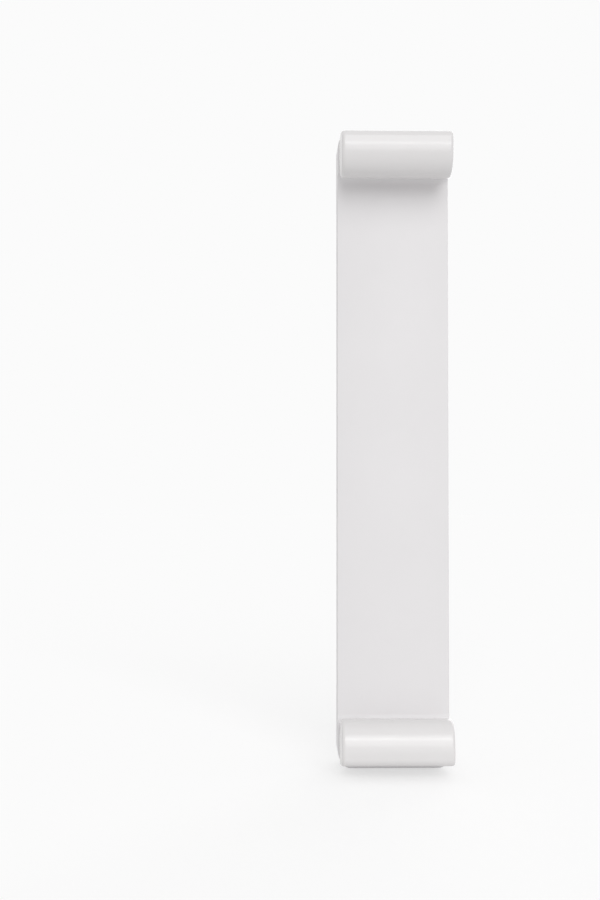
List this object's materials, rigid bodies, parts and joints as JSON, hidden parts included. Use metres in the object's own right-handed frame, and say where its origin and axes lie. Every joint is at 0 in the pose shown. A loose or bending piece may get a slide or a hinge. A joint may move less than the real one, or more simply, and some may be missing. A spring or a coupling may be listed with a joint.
{
  "type": "suction grab bar",
  "caption": "Straight white suction grab bar with a wide flat grip, a roll-shaped pad at each end and flip levers.",
  "frame": {"origin": "on the wall plane, midway between the two suction pads", "axes": "+Z along the bar's length, +Y away from the wall towards the user, +X across the width"},
  "size_m": [0.0734, 0.0589, 0.42],
  "materials": {
    "shell_white": "satin moulded ABS",
    "pad_white": "smooth soft elastomer",
    "lever_white": "satin moulded ABS",
    "nylon": "natural moulded nylon",
    "steel": "bright stainless",
    "aluminium": "mill finish extrusion"
  },
  "bodies": {
    "bar": {"grip_tray": "shell_white", "grip_cover": "shell_white", "grip_spine": "aluminium", "spine_screws": "steel", "suction_pad_top": "pad_white", "pad_carrier_top": "nylon", "stem_springs_top": "steel", "cam_plate_top": "steel", "end_cover_top": "shell_white", "carrier_screws_top": "steel", "cover_screws_top": "steel", "suction_pad_bottom": "pad_white", "pad_carrier_bottom": "nylon", "stem_springs_bottom": "steel", "cam_plate_bottom": "steel", "end_cover_bottom": "shell_white", "carrier_screws_bottom": "steel", "cover_screws_bottom": "steel"},
    "pull_top": {"pull_plate_top": "nylon", "pull_stems_top": "steel", "lever_pin_top": "steel"},
    "lever_top": {"lever_top": "lever_white"},
    "pull_bottom": {"pull_plate_bottom": "nylon", "pull_stems_bottom": "steel", "lever_pin_bottom": "steel"},
    "lever_bottom": {"lever_bottom": "lever_white"}
  },
  "joints": [
    {"name": "pull_slide_top", "type": "slide", "parent": "bar", "child": "pull_top", "axis": [0, -1, 0], "range_m": [0, 0.0025], "deforming": ["stem_springs_top"]},
    {"name": "lever_hinge_top", "type": "hinge", "parent": "pull_top", "child": "lever_top", "pos_m": [0, 0.05, 0.19], "axis": [-1, 0, 0], "range_deg": [0, 78]},
    {"name": "pull_slide_bottom", "type": "slide", "parent": "bar", "child": "pull_bottom", "axis": [0, -1, 0], "range_m": [0, 0.0025], "deforming": ["stem_springs_bottom"]},
    {"name": "lever_hinge_bottom", "type": "hinge", "parent": "pull_bottom", "child": "lever_bottom", "pos_m": [0, 0.05, -0.19], "axis": [1, 0, 0], "range_deg": [0, 78]}
  ],
  "couplings": [
    {"joint": "lever_hinge_top", "follows": "pull_slide_top", "rad_per_m": 544.54},
    {"joint": "lever_hinge_bottom", "follows": "pull_slide_bottom", "rad_per_m": 544.54}
  ]
}
